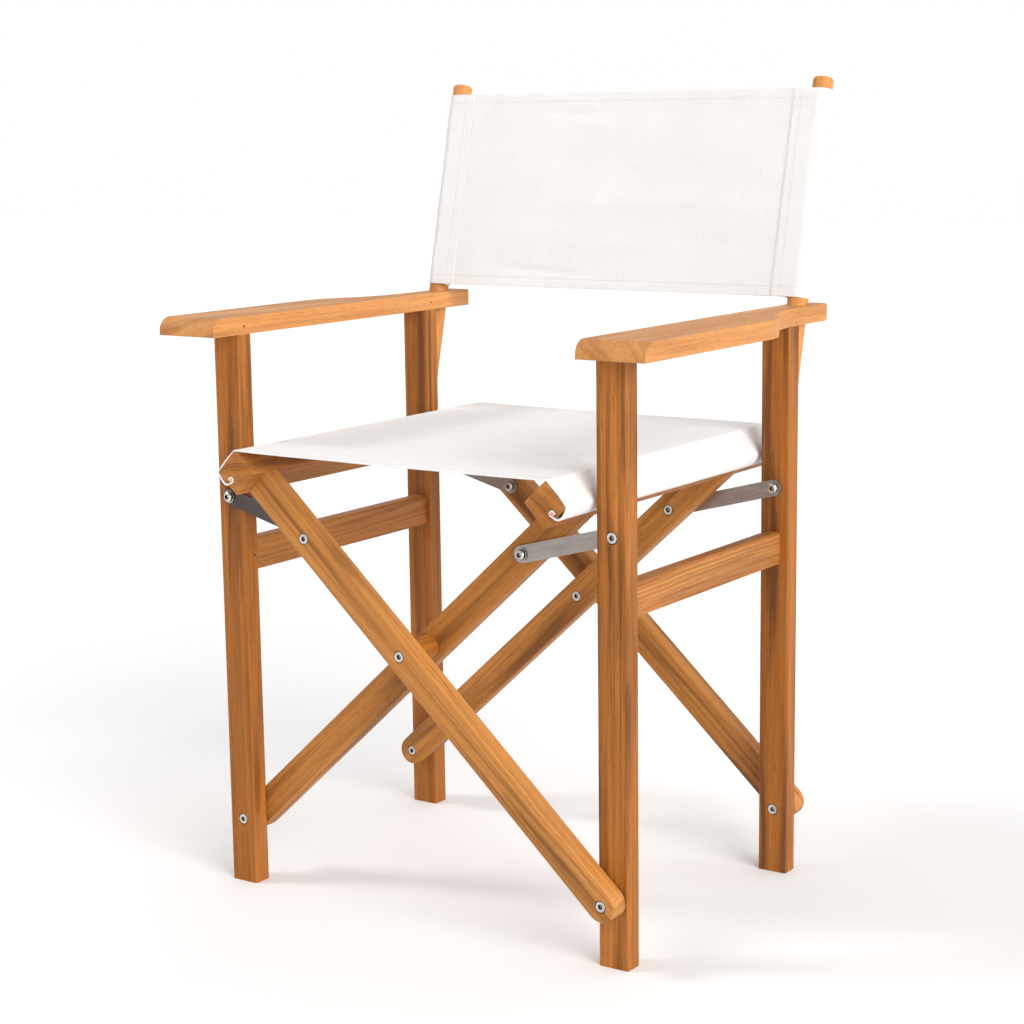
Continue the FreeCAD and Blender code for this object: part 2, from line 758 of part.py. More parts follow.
def make_straps(side_name, side):
    """Both straps of one side, with their screws and washers, and the nuts in the wood."""
    screws = []
    washers = []
    leg_nuts = []
    bar_nuts = []
    play = size("washer_play")
    for pair_name, front_pair in (("front", True), ("rear", False)):
        leg_front, leg_rear = faces(front_pair)
        # Here the strap lies in front of a leg that leads its cross leg, and behind the bar
        # of the other crossed frame, which leads the same leg.
        strap_in_front = (side < 0) == front_pair
        make_strap(f"{side_name}_{pair_name}_strap", side, strap_in_front, leg_front, leg_rear)
        leg_x, bar_x = side * SPAN, side * STRAP_END_X
        if strap_in_front:
            near, far = leg_front - STRAP_PLAY, leg_front - GAP + STRAP_PLAY
            screws.append(strap_screw("Sizes.screw_reach", at(leg_x, far, STRAP_Z, UPRIGHT)))
            washers.append((leg_x, far - play, STRAP_Z, UPRIGHT))
            leg_nuts.append(sleeve_nut(NUT_IN_BOARD, at(leg_x, leg_rear, STRAP_Z, HEAD_BACK)))
            screws.append(
                strap_screw("Sizes.strap_thickness", at(bar_x, near, STRAP_END_Z, HEAD_BACK))
            )
            washers.append((bar_x, near + play, STRAP_END_Z, HEAD_BACK))
            bar_front = leg_front - GAP - BAR_DEPTH
            bar_nuts.append(sleeve_nut(NUT_IN_BOARD, at(bar_x, bar_front, STRAP_END_Z, UPRIGHT)))
        else:
            near, far = leg_rear + STRAP_PLAY, leg_rear + GAP - STRAP_PLAY
            screws.append(strap_screw("Sizes.screw_reach", at(leg_x, far, STRAP_Z, HEAD_BACK)))
            washers.append((leg_x, far + play, STRAP_Z, HEAD_BACK))
            leg_nuts.append(sleeve_nut(NUT_IN_BOARD, at(leg_x, leg_front, STRAP_Z, UPRIGHT)))
            screws.append(
                strap_screw("Sizes.strap_thickness", at(bar_x, near, STRAP_END_Z, UPRIGHT))
            )
            washers.append((bar_x, near - play, STRAP_END_Z, UPRIGHT))
            bar_rear = leg_rear + GAP + BAR_DEPTH
            bar_nuts.append(sleeve_nut(NUT_IN_BOARD, at(bar_x, bar_rear, STRAP_END_Z, HEAD_BACK)))
    rings = []
    for x, y, z, turn in washers:
        sizes = ("Sizes.washer_radius", "Sizes.strap_hole_radius", "Sizes.washer_thickness")
        rings.append(ring(*sizes, at(x, y, z, turn)))
    frame_name = "outer" if side < 0 else "inner"
    group(f"{side_name}_strap_screws", screws)
    group(f"{side_name}_strap_washers", rings)
    group(f"{side_name}_leg_strap_nuts", leg_nuts)
    group(f"{frame_name}_frame_strap_nuts", bar_nuts)


def make_spacer(label, front_pair):
    """The round wooden spacer between the two bars of a pair, around the crossing bolt."""
    _, leg_rear = faces(front_pair)
    play = "2 * Sizes.end_play"
    place = at(0, leg_rear + GAP - size("end_play"), CROSS_Z, UPRIGHT)
    sizes = ("Sizes.spacer_radius", "Sizes.pivot_bore_radius")
    return keep(ring(*sizes, f"{CROSSING_GAP} - {play}", place), label)


def make_pins(label, side):
    """The slim pins through the tenons of one side frame, flush with its inner faces."""
    pins = []
    inner_face = side * (SPAN - size("leg_width") / 2)
    outward = FreeCAD.Rotation(Y_AXIS, 90 * side)
    arm_height = size("leg_height") + size("arm_pin_height")
    rail_height = size("side_rail_low") + size("side_rail_height") / 2
    tenon = size("tenon_length") / 2
    for front in (True, False):
        leg_front, leg_rear = faces(front)
        pins.append((leg_front + LEG_DEPTH / 2, arm_height))
        rail_y = leg_rear - tenon if front else leg_front + tenon
        pins.append((rail_y, rail_height))
    solids = []
    for y, z in pins:
        place = at(inner_face, y, z, outward)
        solids.append(cylinder("Sizes.pin_radius", "Sizes.pin_length", place))
    return group(label, solids)


def make_post_screw(label, side):
    """The screw that holds a back post's planed foot to the rear leg."""
    height = size("post_low") + size("post_screw_height")
    back = post_depth(height) + size("post_radius") / math.cos(RAKE)
    place = at(side * SPAN, back - size("post_screw_sink"), height, HEAD_BACK)
    head = cylinder("Sizes.screw_dome_radius", "Sizes.hex_depth")
    start = lift(-size("post_screw_length"))
    shank = cylinder("Sizes.post_screw_radius", "Sizes.post_screw_length", start)
    screw = fuse(head, shank)
    screw.Placement = place
    return keep(screw, label)


# ---------------------------------------------------------------- canvas


def make_welt(label, side):
    """The rod in the hem of the seat canvas, inside a seat rail's groove."""
    inset = size("seat_rail_side") / 2 - size("groove_depth")
    place = seat_rail_place(side, rail_rear() - size("canvas_margin"))
    place = place * FreeCAD.Placement(Vector(side * inset, 0, 0), FreeCAD.Rotation())
    length = "Sizes.seat_rail_length - 2 * Sizes.canvas_margin"
    return keep(cylinder("Sizes.welt_radius", length, place), label)


def make_seat_canvas(label):
    """The sheet from rail to rail, and its flaps over the rails' outer faces."""
    length = "Sizes.seat_rail_length - 2 * Sizes.canvas_margin"
    half = "Sizes.seat_rail_side / 2"
    outside = size("seat_rail_side") / 2 + size("canvas_clearance")
    skin = size("canvas_thickness")
    rear = rail_rear() - size("canvas_margin")
    pieces = []
    for side in (-1, 1):
        frame = seat_rail_place(side, rear)
        # Over the upper outer face, then down the lower outer face to the groove's mouth.
        wide = f"Sizes.seat_rail_side + {outside - size('seat_rail_side') / 2 + skin}"
        left = -outside - skin if side < 0 else -size("seat_rail_side") / 2
        top = FreeCAD.Placement(Vector(left, outside, 0), FreeCAD.Rotation())
        pieces.append(block(wide, "Sizes.canvas_thickness", length, frame * top))
        left = -outside - skin if side < 0 else outside
        fall = FreeCAD.Placement(Vector(left, 0, 0), FreeCAD.Rotation())
        drop = f"{half} + {outside - size('seat_rail_side') / 2 + skin}"
        pieces.append(block("Sizes.canvas_thickness", drop, length, frame * fall))
    corner = seat_rail_place(1, 0) * Vector(-size("seat_rail_side") / 2, outside, 0)
    reach = corner.x + skin
    span = f"2 * {reach}"
    sheet_place = at(-reach, -size("seat_rail_front") + size("canvas_margin"), corner.z)
    pieces.append(block(span, length, "Sizes.canvas_thickness", sheet_place))
    return keep(fuse(*pieces), label)


def make_back_canvas():
    """The back's panel, and the sleeve sewn at each end of it around its post."""
    inner = "(Sizes.post_radius + Sizes.sleeve_clearance)"
    outer = f"({inner} + Sizes.sleeve_wall)"
    low = post_place(size("post_at_height"))
    sleeve = ring(outer, inner, "Sizes.back_height", low)
    keep(sleeve, "right_back_sleeve")
    mirrored(sleeve, "left_back_sleeve")
    # The panel runs across in front of the posts, between the places where it meets the sleeves.
    chord = f"({outer} ^ 2 - {inner} ^ 2) ^ 0.5"
    width = f"2 * (Sizes.half_span - {chord} - Sizes.sleeve_clearance)"
    edge = Vector(-SPAN - number(width) / 2, -number(outer), 0)
    place = low * FreeCAD.Placement(edge, FreeCAD.Rotation())
    panel = block(width, "Sizes.sleeve_wall", "Sizes.back_height", place)
    keep(panel, "back_canvas")


# ---------------------------------------------------------------- the chair

for side_name, side in (("left", -1), ("right", 1)):
    make_leg(f"{side_name}_front_leg", side, True)
    make_leg(f"{side_name}_rear_leg", side, False)
    make_side_rail(f"{side_name}_side_rail", side)
    make_seat_rail(f"{side_name}_seat_rail", side)
    make_welt(f"{side_name}_welt_rod", side)
    foot_pivots(side_name, side)
    make_straps(side_name, side)
    make_pins(f"{side_name}_tenon_pins", side)
    make_post_screw(f"{side_name}_post_screw", side)

armrest = make_armrest("right_armrest")
mirrored(armrest, "left_armrest")
post = make_back_post("right_back_post")
mirrored(post, "left_back_post")

# The outer frame carries the -X seat rail, and its feet turn on the +X legs.
make_bar("outer_front_cross_leg", 1, True, True)
make_bar("outer_rear_cross_leg", 1, False, False)
make_bar("inner_front_cross_leg", -1, True, False)
make_bar("inner_rear_cross_leg", -1, False, True)

front_lead = -GAP - BAR_DEPTH / 2
front_trail = LEG_DEPTH + GAP + BAR_DEPTH / 2
make_dowels("outer_frame_dowels", -1, (front_lead, REAR_LEG + front_trail))
make_dowels("inner_frame_dowels", 1, (front_trail, REAR_LEG + front_lead))

pivot_bolts(
    "crossing",
    [
        (0, CROSS_Z, face - GAP - BAR_DEPTH, face + LEG_DEPTH + GAP + BAR_DEPTH)
        for face in (0, REAR_LEG)
    ],
)
make_spacer("front_crossing_spacer", True)
make_spacer("rear_crossing_spacer", False)
make_seat_canvas("seat_canvas")
make_back_canvas()

doc.recompute()
for item in doc.Objects:
    if {"Invalid", "Error"} & set(item.State):
        raise RuntimeError(f"{item.Label} failed: {item.State}")
for part in subparts:
    if part.Shape.isNull() or not part.Shape.isValid():
        raise RuntimeError(f"{part.Label} has no valid shape")

os.makedirs("parts", exist_ok=True)
for part in subparts:
    part.Shape.exportStep(os.path.join("parts", f"{part.Label}.step"))
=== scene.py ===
import math

import bpy
import numpy as np
from mathutils import Matrix, Vector, noise


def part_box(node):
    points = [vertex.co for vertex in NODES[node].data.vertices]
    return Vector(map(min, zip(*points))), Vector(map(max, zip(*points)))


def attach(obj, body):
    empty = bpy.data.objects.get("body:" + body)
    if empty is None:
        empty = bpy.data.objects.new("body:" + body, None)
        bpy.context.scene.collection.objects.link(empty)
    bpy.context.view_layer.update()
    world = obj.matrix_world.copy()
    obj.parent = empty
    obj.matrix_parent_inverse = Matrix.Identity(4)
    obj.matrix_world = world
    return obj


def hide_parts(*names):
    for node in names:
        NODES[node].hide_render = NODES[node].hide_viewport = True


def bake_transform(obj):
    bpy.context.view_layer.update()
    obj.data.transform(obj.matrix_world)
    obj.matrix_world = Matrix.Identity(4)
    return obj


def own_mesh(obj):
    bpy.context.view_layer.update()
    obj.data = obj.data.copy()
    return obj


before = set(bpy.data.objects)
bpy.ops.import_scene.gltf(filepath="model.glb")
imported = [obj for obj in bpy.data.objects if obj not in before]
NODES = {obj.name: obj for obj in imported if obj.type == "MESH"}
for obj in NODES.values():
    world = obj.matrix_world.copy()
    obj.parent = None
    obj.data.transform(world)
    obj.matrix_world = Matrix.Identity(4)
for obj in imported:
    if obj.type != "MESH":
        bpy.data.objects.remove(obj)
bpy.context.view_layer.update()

# Everything is in metres, in the frame of the CAD model: +X to the right as seen from the
# front, the chair faces -Y, +Z is up. In cross-sections, lengths are written in millimetres.
MM = 0.001

# ---------------------------------------------------------------- sizes shared with the frame

OPEN_ANGLE = math.radians(47.5)
RAKE = math.radians(13.5)
RAIL_HALF = 17.0
RAIL_ROUND = 2.0
GROOVE_INSET = 6.0
POST_RADIUS = 11.25
BACK_HEIGHT = 230.0
WELT_RADIUS = 2.6

# ---------------------------------------------------------------- sizes of the cloth

CLOTH = 0.8  # thickness
HEM = 13.0  # width of a turned hem
HEM_STITCH = 10.5  # how far a hem's stitch line is from its edge
# Where the mesh is divided from an edge to past its hem, closest at the rounded edge.
HEM_STEPS = [0, 0.12, 0.35, 0.7, 1.3, 3, 5, 7, 9, 9.8, HEM_STITCH, 11.2, 12.2, 13.2, 14.5]
EDGE_ROUND = 0.9  # how far in from its edge a cloth reaches its full thickness
POCKET_STITCH = 11.5  # from a rail's outer corner up to the stitch line of the rod's pocket
SLEEVE_CLEARANCE = 0.4
SLEEVE_SEAMS = (17.0, 25.5)  # the two seams of a sleeve, inwards from its post's axis
SLEEVE_FLAP = 28.5
PANEL_TUCK = 4.0  # from a post's axis to the edge of the panel between the flaps
STITCH_LENGTH = 2.7
STITCH_PITCH = 3.7
THREAD_RADIUS = 0.34


# ---------------------------------------------------------------- shader nodes


class Shader:
    """The node tree of a material or a world, with short calls for the nodes that it uses."""

    def __init__(self, name, owner=None):
        self.material = owner or bpy.data.materials.new(name)
        self.material.use_nodes = True
        self.tree = self.material.node_tree
        self.surface = self.tree.nodes.get("Principled BSDF")

    def node(self, kind, inputs=(), **settings):
        made = self.tree.nodes.new(kind)
        for key, value in settings.items():
            setattr(made, key, value)
        for key, value in dict(inputs).items():
            self.feed(made.inputs[key], value)
        return made

    def feed(self, socket, value):
        """Link an output to a socket, or set the socket's own value."""
        if isinstance(value, bpy.types.NodeSocket):
            self.tree.links.new(value, socket)
        else:
            socket.default_value = value

    def set(self, **values):
        """Set the surface's own sockets; underscores stand for spaces."""
        for key, value in values.items():
            self.feed(self.surface.inputs[key.replace("_", " ")], value)

    def math(self, operation, first, second=0.0, clamp=False):
        made = self.node("ShaderNodeMath", {0: first, 1: second}, operation=operation)
        made.use_clamp = clamp
        return made.outputs[0]

    def vector(self, operation, first, second=(0, 0, 0)):
        made = self.node("ShaderNodeVectorMath", {0: first, 1: second}, operation=operation)
        return made.outputs["Value" if operation in ("LENGTH", "DOT_PRODUCT") else "Vector"]

    def noise(self, place, scale=1.0, detail=2.0, roughness=0.5):
        inputs = {"Vector": place, "Scale": scale, "Detail": detail, "Roughness": roughness}
        return self.node("ShaderNodeTexNoise", inputs).outputs["Fac"]

    def ramp(self, factor, low, high, start=0.0, end=1.0):
        """Factor from low to high becomes start to end, and stays there outside."""
        names = ("Value", "From Min", "From Max", "To Min", "To Max")
        inputs = dict(zip(names, (factor, low, high, start, end)))
        return self.node("ShaderNodeMapRange", inputs, clamp=True).outputs[0]

    def mix(self, factor, first, second, blend="MIX"):
        made = self.node("ShaderNodeMix", data_type="RGBA", blend_type=blend)
        self.feed(made.inputs["Factor"], factor)
        self.feed(made.inputs[6], first)
        self.feed(made.inputs[7], second)
        return made.outputs[2]

    def bump(self, height, depth, normal=None):
        inputs = {"Height": height, "Distance": depth, "Strength": 1.0}
        made = self.node("ShaderNodeBump", inputs)
        if normal is not None:
            self.feed(made.inputs["Normal"], normal)
        return made.outputs["Normal"]


def rgb(red, green, blue):
    """A linear colour from 8-bit sRGB values."""
    values = []
    for channel in (red, green, blue):
        c = channel / 255
        values.append(c / 12.92 if c <= 0.04045 else ((c + 0.055) / 1.055) ** 2.4)
    return (*values, 1.0)


# ---------------------------------------------------------------- materials


def wood(name, grain, seed, light, middle, dark, banding=1.0, ringing=0.38, ring=0.0015):
    """Oiled wood as a solid texture: dark bands and fine streaks along the grain, growth rings
    about a pith beside the piece, and pores."""
    shader = Shader(name)
    turn = Vector(grain).rotation_difference(Vector((0, 0, 1))).to_euler()
    place = shader.node("ShaderNodeTexCoord").outputs["Object"]
    mapping = shader.node("ShaderNodeMapping", {"Vector": place, "Rotation": turn})
    turned = mapping.outputs["Vector"]
    offset = (0.31 * seed, 0.17 * seed, 0.53 * seed)
    local = shader.vector("ADD", turned, offset)

    def stretched(across, along):
        return shader.vector("MULTIPLY", local, (across, across, along))

    # Growth rings: distance from the pith, bent by slow noise; every ring has its own strength.
    wander = shader.noise(stretched(14, 2.2), detail=2.0)
    flat = shader.vector("MULTIPLY", turned, (1, 1, 0))
    around = (math.sin(seed * 2.4) * 0.02 + 0.075, math.cos(seed * 1.7) * 0.02 + 0.11, 0)
    radius = shader.vector("LENGTH", shader.vector("ADD", flat, around))
    bent = shader.math("MULTIPLY_ADD", wander, 0.02)
    shader.feed(bent.node.inputs[2], radius)
    phase = shader.math("DIVIDE", bent, ring)
    whole = shader.math("FLOOR", phase)
    part = shader.math("FRACT", phase)
    rise = shader.ramp(part, 0.2, 0.85)
    fall = shader.ramp(part, 0.88, 1.0, 1.0, 0.0)
    late = shader.math("MULTIPLY", rise, fall)
    each = shader.node("ShaderNodeTexWhiteNoise", {"W": whole}, noise_dimensions="1D").outputs[0]
    rings = shader.math("MULTIPLY", late, shader.ramp(each, 0.0, 1.0, 0.05, 0.8))

    # Some rings are dark over a long way; the bands follow the rings' bends.
    band_place = shader.node("ShaderNodeCombineXYZ", {0: shader.math("MULTIPLY", bent, 95.0)})
    lengthwise = shader.vector("MULTIPLY", local, (9, 9, 3.2))
    band_noise = shader.noise(shader.vector("ADD", band_place.outputs[0], lengthwise), detail=3.0)
    bands = shader.ramp(band_noise, 0.5, 0.66)
    streaks = shader.ramp(shader.noise(stretched(240, 3.0), detail=3.0), 0.48, 0.72)
    fine = shader.ramp(shader.noise(stretched(800, 10), detail=2.0), 0.4, 0.75)
    pores = shader.ramp(shader.noise(stretched(1500, 60), detail=1.0), 0.6, 0.72)
    broad = shader.noise(stretched(22, 1.0), detail=2.0)

    colour = shader.mix(shader.ramp(broad, 0.35, 0.65), light, middle)
    colour = shader.mix(shader.math("MULTIPLY", bands, 0.85 * banding), colour, dark)
    colour = shader.mix(shader.math("MULTIPLY", rings, ringing), colour, dark)
    colour = shader.mix(shader.math("MULTIPLY", streaks, 0.42 * banding), colour, dark)
    colour = shader.mix(shader.math("MULTIPLY", fine, 0.25), colour, dark)
    pore_colour = tuple(0.45 * c for c in dark[:3]) + (1.0,)
    colour = shader.mix(shader.math("MULTIPLY", pores, 0.4), colour, pore_colour)

    # Rounded, slightly paler edges where hands and weather have worn the oil away.
    soft = shader.node("ShaderNodeBevel", {"Radius": 0.0009}, samples=4).outputs[0]
    true = shader.node("ShaderNodeNewGeometry").outputs["Normal"]
    edge = shader.ramp(shader.vector("DOT_PRODUCT", soft, true), 0.995, 0.86)
    worn = shader.math("MULTIPLY", edge, shader.ramp(fine, 0.0, 1.0, 0.5, 0.15))
    pale = tuple(min(1.0, 1.25 * c) for c in light[:3]) + (1.0,)
    colour = shader.mix(worn, colour, pale)

    height = shader.math("MULTIPLY_ADD", pores, -0.6)
    shader.feed(height.node.inputs[2], shader.math("MULTIPLY", rings, -0.3))
    shader.set(
        Base_Color=colour,
        Roughness=shader.ramp(broad, 0.2, 0.8, 0.44, 0.58),
        Normal=shader.bump(height, 0.00018, soft),
        Specular_IOR_Level=0.25,
    )
    return shader.material


def steel(name, along, tone, roughness):
    """Brushed stainless steel: fine lines along the piece, with a few scuffs."""
    shader = Shader(name)
    turn = Vector(along).rotation_difference(Vector((0, 0, 1))).to_euler()
    place = shader.node("ShaderNodeTexCoord").outputs["Object"]
    mapping = shader.node("ShaderNodeMapping", {"Vector": place, "Rotation": turn})
    turned = mapping.outputs["Vector"]
    brushed = shader.noise(shader.vector("MULTIPLY", turned, (3800, 3800, 45)), detail=2.0)
    scuffs = shader.noise(shader.vector("MULTIPLY", turned, (90, 90, 30)), detail=3.0)
    dull = tuple(0.62 * c for c in tone[:3]) + (1.0,)
    colour = shader.mix(shader.ramp(brushed, 0.3, 0.7), tone, dull)
    colour = shader.mix(shader.ramp(scuffs, 0.5, 0.75, 0.0, 0.4), colour, dull)
    shader.set(
        Base_Color=colour,
        Metallic=1.0,
        Roughness=shader.ramp(scuffs, 0.3, 0.7, roughness, roughness + 0.16),
        Normal=shader.bump(brushed, 0.00004),
    )
    return shader.material


def turned_steel(name):
    """The bright heads of bolts, nuts and washers, with painted shade darkening them in their sockets
    and recesses.
    """
    shader = Shader(name)
    place = shader.node("ShaderNodeTexCoord").outputs["Object"]
    marks = shader.noise(place, scale=900, detail=1.0)
    smudges = shader.noise(place, scale=160, detail=2.0)
    bright = rgb(222, 218, 212)
    grey = rgb(186, 180, 173)
    colour = shader.mix(shader.ramp(smudges, 0.4, 0.7), bright, grey)
    # Painted shade: an ambient occlusion node blends the metal towards near black where sockets and
    # recesses close round it.
    recess_shade_ao = shader.node("ShaderNodeAmbientOcclusion", {"Distance": 0.004}, samples=8)
    unshaded_share = shader.ramp(recess_shade_ao.outputs["AO"], 0.55, 0.92)
    colour = shader.mix(unshaded_share, rgb(34, 30, 27), colour)
    shader.set(
        Base_Color=colour,
        Metallic=1.0,
        Roughness=shader.ramp(marks, 0.3, 0.7, 0.26, 0.34),
        Normal=shader.bump(marks, 0.00001),
    )
    return shader.material


def canvas():
    """Off-white cotton canvas: plain weave in the cloth's own coordinates, with slubs."""
    shader = Shader("canvas_weave")
    cloth = shader.node("ShaderNodeAttribute", attribute_name="cloth").outputs["Vector"]
    parts = shader.node("ShaderNodeSeparateXYZ", {0: cloth})
    pitch = 0.00085
    waves = []
    for axis in (0, 1):
        turns = shader.math("MULTIPLY", parts.outputs[axis], 2 * math.pi / pitch)
        waves.append(shader.math("SINE", turns))
    woven = shader.math("MULTIPLY", waves[0], waves[1])
    slub_x = shader.noise(shader.vector("MULTIPLY", cloth, (40, 1700, 1)), detail=1.0)
    slub_y = shader.noise(shader.vector("MULTIPLY", cloth, (1700, 40, 1)), detail=1.0)
    slubs = shader.math("ADD", slub_x, slub_y)
    mottle = shader.noise(shader.vector("MULTIPLY", cloth, (22, 22, 1)), detail=3.0)

    thread = rgb(241, 240, 240)
    shadow = rgb(216, 212, 208)
    warm = rgb(239, 237, 235)
    colour = shader.mix(shader.ramp(mottle, 0.35, 0.7), thread, warm)
    colour = shader.mix(shader.ramp(woven, -1.0, 0.2, 0.4, 0.0), colour, shadow)
    colour = shader.mix(shader.ramp(slubs, 1.05, 1.3, 0.0, 0.35), colour, shadow)
    height = shader.math("MULTIPLY_ADD", slubs, 1.4)
    shader.feed(height.node.inputs[2], woven)
    shader.set(
        Base_Color=colour,
        Roughness=shader.ramp(slubs, 0.8, 1.2, 0.82, 0.92),
        Normal=shader.bump(height, 0.00011),
        Sheen_Weight=0.25,
        Sheen_Roughness=0.5,
        Specular_IOR_Level=0.2,
    )
    return shader.material


def thread():
    """Twisted sewing thread."""
    shader = Shader("sewing_thread")
    place = shader.node("ShaderNodeTexCoord").outputs["Object"]
    twist = shader.noise(place, scale=2200, detail=2.0)
    colour = shader.mix(shader.ramp(twist, 0.35, 0.65), rgb(230, 226, 220), rgb(190, 184, 176))
    shader.set(
        Base_Color=colour,
        Roughness=shader.ramp(twist, 0.3, 0.7, 0.6, 0.75),
        Normal=shader.bump(twist, 0.00008),
        Sheen_Weight=0.2,
    )
    return shader.material


def welt():
    """The tan rod that the seat's edges are wrapped around: fibres wound along it."""
    shader = Shader("welt_fibre")
    place = shader.node("ShaderNodeTexCoord").outputs["Object"]
    fibres = shader.noise(shader.vector("MULTIPLY", place, (1600, 60, 1600)), detail=2.0)
    colour = shader.mix(shader.ramp(fibres, 0.35, 0.65), rgb(226, 183, 153), rgb(188, 138, 104))
    shader.set(
        Base_Color=colour,
        Roughness=shader.ramp(fibres, 0.3, 0.7, 0.55, 0.7),
        Normal=shader.bump(fibres, 0.0001),
    )
    return shader.material


def floor_paint():
    """The studio floor: plain and pale."""
    shader = Shader("studio_floor")
    place = shader.node("ShaderNodeTexCoord").outputs["Object"]
    faint = shader.noise(place, scale=3.0, detail=2.0)
    colour = shader.mix(shader.ramp(faint, 0.3, 0.7), (0.885, 0.88, 0.88, 1), (0.9, 0.895, 0.895, 1))
    shader.set(Base_Color=colour, Roughness=0.75, Specular_IOR_Level=0.1)
    return shader.material


# ---------------------------------------------------------------- meshes


def new_piece(name, points, faces, material, cloth=None):
    """A smooth mesh in the scene; cloth gives each point's place on the flat cloth."""
    mesh = bpy.data.meshes.new(name)
    mesh.from_pydata([tuple(p) for p in points], [], [tuple(map(int, f)) for f in faces])
    mesh.shade_smooth()
    mesh.materials.append(material)
    if cloth is not None:
        attribute = mesh.attributes.new("cloth", "FLOAT_VECTOR", "POINT")
        attribute.data.foreach_set("vector", np.asarray(cloth, np.float32).ravel())
    piece = bpy.data.objects.new(name, mesh)
    bpy.context.scene.collection.objects.link(piece)
    return piece


def normals_of(grid):
    """Unit normals of a grid of points: its first index crossed with its second."""
    normal = np.cross(np.gradient(grid, axis=0), np.gradient(grid, axis=1))
    return normal / np.linalg.norm(normal, axis=2, keepdims=True)


def closed_sheet(name, grid, above, below, flat, material):
    """A closed sheet about a grid of points, with its thickness to each side of the grid."""
    rows, columns = grid.shape[:2]
    normal = normals_of(grid)
    sides = [grid + normal * above[..., None], grid - normal * below[..., None]]
    points = np.concatenate([side.reshape(-1, 3) for side in sides])
    index = np.arange(rows * columns).reshape(rows, columns)
    quads = np.stack([index[:-1, :-1], index[1:, :-1], index[1:, 1:], index[:-1, 1:]], axis=-1)
    top = quads.reshape(-1, 4)
    under = top[:, ::-1] + rows * columns
    rim = np.concatenate([index[0, :-1], index[:-1, -1], index[-1, :0:-1], index[:0:-1, 0]])
    after = np.roll(rim, -1)
    edge = np.stack([rim, after, after + rows * columns, rim + rows * columns], axis=-1)
    cloth = np.concatenate([flat.reshape(-1, 3)] * 2)
    return new_piece(name, points, np.concatenate([top, under, edge]), material, cloth)


def rounded(distance, radius):
    """From 0 at a sheet's edge to 1 beyond the radius, as the edge's round section rises."""
    inside = np.clip(1 - distance / radius, 0, 1)
    return np.sqrt(1 - inside**2)


def bump_at(distance, width):
    return np.exp(-((distance / width) ** 2))


def steps(length, edge_steps, middle):
    """Places from 0 to length: the given ones near each edge, then even ones between."""
    first = np.array(edge_steps, float)
    last = length - first[::-1]
    count = max(2, round((last[0] - first[-1]) / middle))
    return np.concatenate([first, np.linspace(first[-1], last[0], count + 1)[1:-1], last])


def along_line(points, normals, start, pitch):
    """Places at even distances along a line of points, with direction and normal."""
    gaps = np.linalg.norm(np.diff(points, axis=0), axis=1)
    reach = np.concatenate([[0], np.cumsum(gaps)])
    for at in np.arange(start, reach[-1] - pitch, pitch):
        spots = [[np.interp(a, reach, points[:, k]) for k in range(3)] for a in (at, at + pitch)]
        near, far = (Vector(spot) for spot in spots)
        normal = Vector([float(np.interp(at, reach, normals[:, k])) for k in range(3)])
        yield near, (far - near).normalized(), normal.normalized()


def stitching(name, lines, material):
    """Rows of stitches, each a short tapered thread that dips into the cloth at its ends."""
    sides = 6
    half = [(-0.5, 0.25, -0.9), (-0.36, 0.85, -0.1)]
    profile = half + [(0.0, 1.0, 0.15)] + [(-reach, swell, rise) for reach, swell, rise in half[::-1]]
    points = []
    faces = []
    for line, normals in lines:
        for centre, forward, up in along_line(line, normals, 1.2 * MM, STITCH_PITCH * MM):
            across = forward.cross(up).normalized()
            first = len(points)
            for reach, swell, rise in profile:
                middle = centre + forward * (reach * STITCH_LENGTH * MM)
                middle = middle + up * (rise * THREAD_RADIUS * MM)
                for k in range(sides):
                    angle = 2 * math.pi * k / sides
                    spoke = across * math.cos(angle) + up * math.sin(angle)
                    points.append(middle + spoke * (swell * THREAD_RADIUS * MM))
            for ring in range(len(profile) - 1):
                for k in range(sides):
                    a = first + ring * sides + k
                    b = first + ring * sides + (k + 1) % sides
                    faces.append((a, b, b + sides, a + sides))
            faces.append(tuple(first + k for k in reversed(range(sides))))
            last = first + (len(profile) - 1) * sides
            faces.append(tuple(last + k for k in range(sides)))
    return new_piece(name, points, faces, material)


def arc(centre, radius, start, end, count):
    """Points of an arc; angles in degrees from the first axis towards the second."""
    points = []
    for i in range(count + 1):
        angle = math.radians(start + (end - start) * i / count)
        points.append((centre[0] + radius * math.cos(angle), centre[1] + radius * math.sin(angle)))
    return points


def filled(points, longest):
    """The same line with its long runs divided."""
    result = [points[0]]
    for a, b in zip(points, points[1:]):
        count = max(1, math.ceil(math.dist(a, b) / longest))
        for i in range(1, count + 1):
            result.append(tuple(p + (q - p) * i / count for p, q in zip(a, b)))
    return result


# ---------------------------------------------------------------- seat canvas


def seat_edge_profile():
    """From the welt to the rail's top corner, about the rail's centre, in millimetres.

    The first axis is the upper outer face's normal and the second the lower outer face's.
    """
    groove = (0.0, RAIL_HALF - GROOVE_INSET)
    curl = WELT_RADIUS + 0.2 + CLOTH / 2
    lie = RAIL_HALF + CLOTH / 2 + 0.15
    points = arc(groove, curl, 50, -230, 22)
    points += [(-1.15, 14.9), (-1.05, 16.2), (-0.75, 17.6), (0.0, 19.0), (1.6, 20.1)]
    points += [(4.5, 20.7), (8.0, 20.4), (12.0, 19.3)]
    corner = RAIL_HALF - RAIL_ROUND
    around = lie - corner
    points += arc((corner, corner), around, 78, 12, 8)
    points += [(lie + 0.5, 10.0), (lie + 0.9, 3.0), (lie + 0.8, -5.0), (lie + 0.3, -11.0)]
    points += arc((corner, -corner), around + 0.3, 0, -math.degrees(OPEN_ANGLE), 8)
    return points


